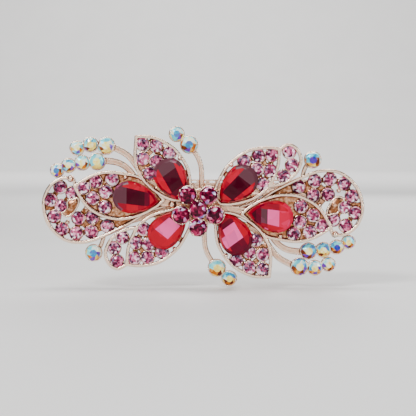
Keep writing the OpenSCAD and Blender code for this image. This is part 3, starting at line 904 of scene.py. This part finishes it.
def colour_pear(stone, look, half_l, half_w, dice):
    """Numbers the facets: painted reflections on the middle strips, red at the sides and round the border."""
    data = stone.data.attributes.new("facet", "FLOAT_COLOR", "CORNER").data
    for face in sorted(stone.data.polygons, key=lambda face: [round(v, 5) for v in face.center]):
        row = sum(face.center.x > share * half_l for share in ACROSS)
        in_border = face.center.z < PEAR_TOP - LEVEL
        if in_border and row == 0:
            number = SHADES[look[0]] + dice.uniform(-0.04, 0.01)
        elif in_border:
            number = dice.uniform(*BORDER_REDS)
        elif abs(face.center.y) < ALONG[1] * half_w:
            number = SHADES[look[row]] + dice.uniform(-0.02, 0.01)
        else:
            number = SHADES[dice.choice(("bright", "bright", "red", look[row]))]
        for corner in face.loop_indices:
            data[corner].color = (number, 0, 0, 1)


for node, look in PEAR_LOOKS.items():
    middle, turn, corners, back = pear_place(node)
    half_l = max(p.x for p in corners)
    half_w = max(p.y for p in corners)
    stone = cut_pear(corners, half_l, half_w)
    colour_pear(stone, look, half_l, half_w, dice)
    place = Matrix.Translation((middle.x, back, middle.y)) @ FACE_FRONT @ Matrix.Rotation(turn, 4, "Z")
    stone.data.transform(place)
    stone.name = node + "_cut"
    finish_piece(stone, "red_stone", red_stone, node)
print("pears cut:", len(PEAR_LOOKS))

# %% [markdown]
# ## The barrette
# The plate, the arm, the catch and the pins have the right shape already, so they keep their CAD
# meshes. The plate is plated like the ornament and the rest is steel. A weld and a fine bevel let
# their edges catch the light.

# %% Finish the barrette
BARRETTE = {"rose_gold": rose_gold, "steel": plated_steel, "spring_steel": spring_steel}
STEELS = ("steel", "spring_steel")
for node, obj in frame["nodes"].items():
    if SLOTS[node] in STEELS or node == "base_plate":
        obj.data.materials.clear()
        obj.data.materials.append(BARRETTE[SLOTS[node]])
        weld = obj.modifiers.new("weld", "WELD")
        weld.merge_threshold = SAME
        bevel = obj.modifiers.new("edges", "BEVEL")
        bevel.width = 0.06 * MM
        bevel.segments = 2
        bevel.limit_method = "ANGLE"
        bevel.angle_limit = math.radians(40)
print("barrette finished")

# %% [markdown]
# ## Floor
# A product is shown on a pale sweep: a floor that curves up into a wall, so that no edge shows
# behind it. It is one plane whose far edge is extruded step by step round the curve.


# %% Floor
FLOOR_SIZE = 3
SWEEP_STEPS = 8
SWEEP_STEP = 0.12
WALL_HEIGHT = 1.5
GAP_BELOW = 0.6 * MM


def floor_finish():
    """Pale matt paint with very slow, faint changes of shade."""
    finish = Finish("pale_floor")
    grain = finish.noise(0.02, 3)
    return finish.surface(
        Base_Color=finish.mix(grain, (0.74, 0.73, 0.72), (0.8, 0.79, 0.78)), Roughness=0.6 + 0.1 * grain
    )


lo, hi = cad_box
bpy.ops.object.select_all(action="DESELECT")
bpy.ops.mesh.primitive_plane_add(size=FLOOR_SIZE, location=(0, 0, lo.z - GAP_BELOW))
floor = bpy.context.object
floor.name = "floor"
bpy.ops.object.transform_apply(location=True, rotation=True, scale=True)
edit(floor)
bpy.ops.mesh.select_mode(type="EDGE")
mesh = bmesh.from_edit_mesh(floor.data)
for edge in mesh.edges:
    edge.select_set(all(vert.co.y > 0 for vert in edge.verts))
bmesh.update_edit_mesh(floor.data)
for step in range(SWEEP_STEPS):
    slope = math.pi / 2 * (step + 1) / SWEEP_STEPS
    bpy.ops.mesh.extrude_region_move(
        TRANSFORM_OT_translate={"value": (0, SWEEP_STEP * math.cos(slope), SWEEP_STEP * math.sin(slope))}
    )
bpy.ops.mesh.extrude_region_move(TRANSFORM_OT_translate={"value": (0, 0, WALL_HEIGHT)})
done()
bpy.ops.object.shade_smooth()
floor.data.materials.append(floor_finish())
print("floor:", len(floor.data.polygons), "faces")

# %% [markdown]
# ## Light
# Soft boxes are what the metal and the facets reflect, so their number and place matter more than
# their power. The key is small and gives the sparkle, the front one opens the shadows, the back one
# draws the rims, and a large one lights the wall. The world is almost dark, so that polished metal
# has something dark to reflect too.


# %% Lights
def softbox(name, place, aim, size, power):
    """A rectangular area light at a place, turned towards its aim; metres and watts."""
    bpy.ops.object.light_add(type="AREA", location=place)
    light = bpy.context.object
    light.name = name
    light.data.shape = "RECTANGLE"
    light.data.size = size[0]
    light.data.size_y = size[1]
    light.data.energy = power
    light.rotation_euler = (Vector(aim) - Vector(place)).to_track_quat("-Z", "Y").to_euler()


middle = (lo + hi) / 2
softbox("key", (-0.25, -0.35, 0.35), middle, (0.2, 0.12), 2.5)
softbox("front", (0.05, -1.2, 0.25), middle, (0.9, 0.5), 2.2)
softbox("fill", (0.4, -0.3, 0.15), middle, (0.08, 0.25), 0.8)
softbox("top", (0, 0.05, 0.5), middle, (0.4, 0.2), 2.5)
softbox("back", (0.1, 0.5, 0.25), middle, (0.4, 0.3), 1.5)
softbox("backdrop", (0, 0.9, 0.9), (0, 1.8, 0.2), (1, 0.5), 25)

world = bpy.data.worlds.new("studio")
bpy.context.scene.world = world
world.use_nodes = True
background = world.node_tree.nodes["Background"]
background.inputs["Color"].default_value = (0.8, 0.82, 0.85, 1)
background.inputs["Strength"].default_value = 0.1

# %% [markdown]
# ## Camera
# The clip is seen almost straight from the front, so a long lens stands a little above its middle.
# The distance follows from how much wider than the clip the view should be.


# %% Camera
LENS = 100
SENSOR = 36
VIEW_SHARE = 1.262
AIM_ACROSS = 1.3 * MM
ELEVATION = math.radians(3)
distance = VIEW_SHARE * (hi.x - lo.x) * LENS / SENSOR
bpy.ops.object.camera_add()
camera = bpy.context.object
camera.name = "camera"
camera.data.lens = LENS
camera.data.sensor_width = SENSOR
camera.data.clip_start = 0.01
aim = Vector((AIM_ACROSS, lo.y, middle.z))
camera.location = aim + distance * Vector((0, -math.cos(ELEVATION), math.sin(ELEVATION)))
camera.rotation_euler = (aim - camera.location).to_track_quat("-Z", "Y").to_euler()
bpy.context.scene.camera = camera
print("camera", [round(v, 3) for v in camera.location])
